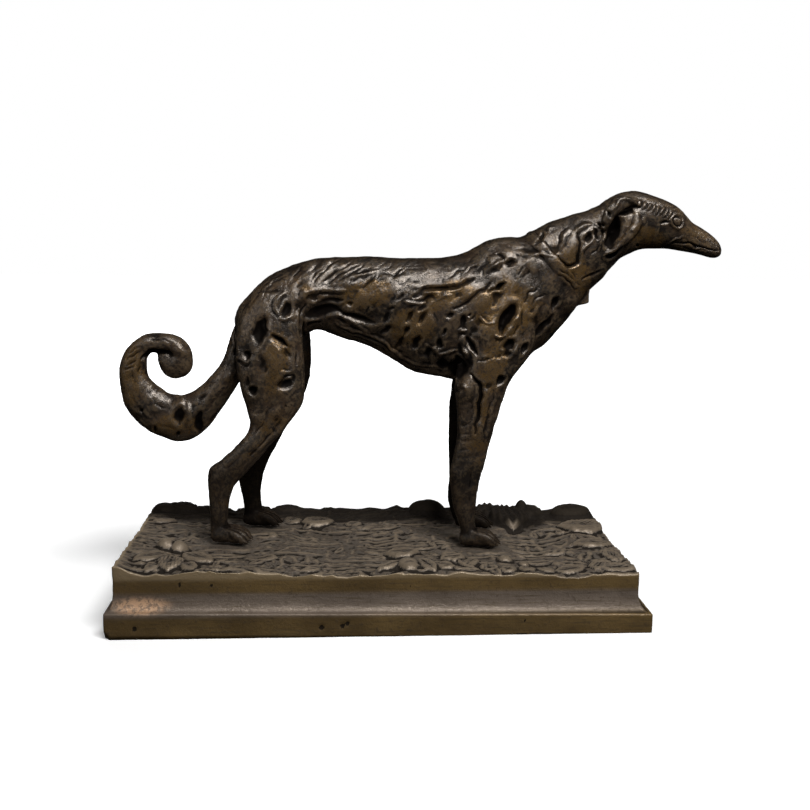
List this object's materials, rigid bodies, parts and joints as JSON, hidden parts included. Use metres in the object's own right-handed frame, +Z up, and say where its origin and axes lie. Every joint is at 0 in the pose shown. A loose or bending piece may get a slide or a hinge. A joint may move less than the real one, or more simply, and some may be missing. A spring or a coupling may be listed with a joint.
{
  "type": "bronze dog statuette",
  "caption": "Cast bronze statuette of a standing borzoi with a curled tail, on a moulded rectangular plinth with modelled ground.",
  "frame": {"origin": "centre of the plinth's underside", "axes": "+X along the plinth, the way the dog looks; +Y across it, away from the pictured side; +Z up"},
  "size_m": [0.2727, 0.109, 0.186],
  "materials": {
    "brown_bronze": "dark brown-black patina, worn golden brown on the high places",
    "olive_bronze": "olive-brown patina on the mouldings, dull grey-brown and dusty on the modelled ground"
  },
  "bodies": {
    "root": {"borzoi": "brown_bronze", "plinth": "olive_bronze"}
  },
  "joints": []
}
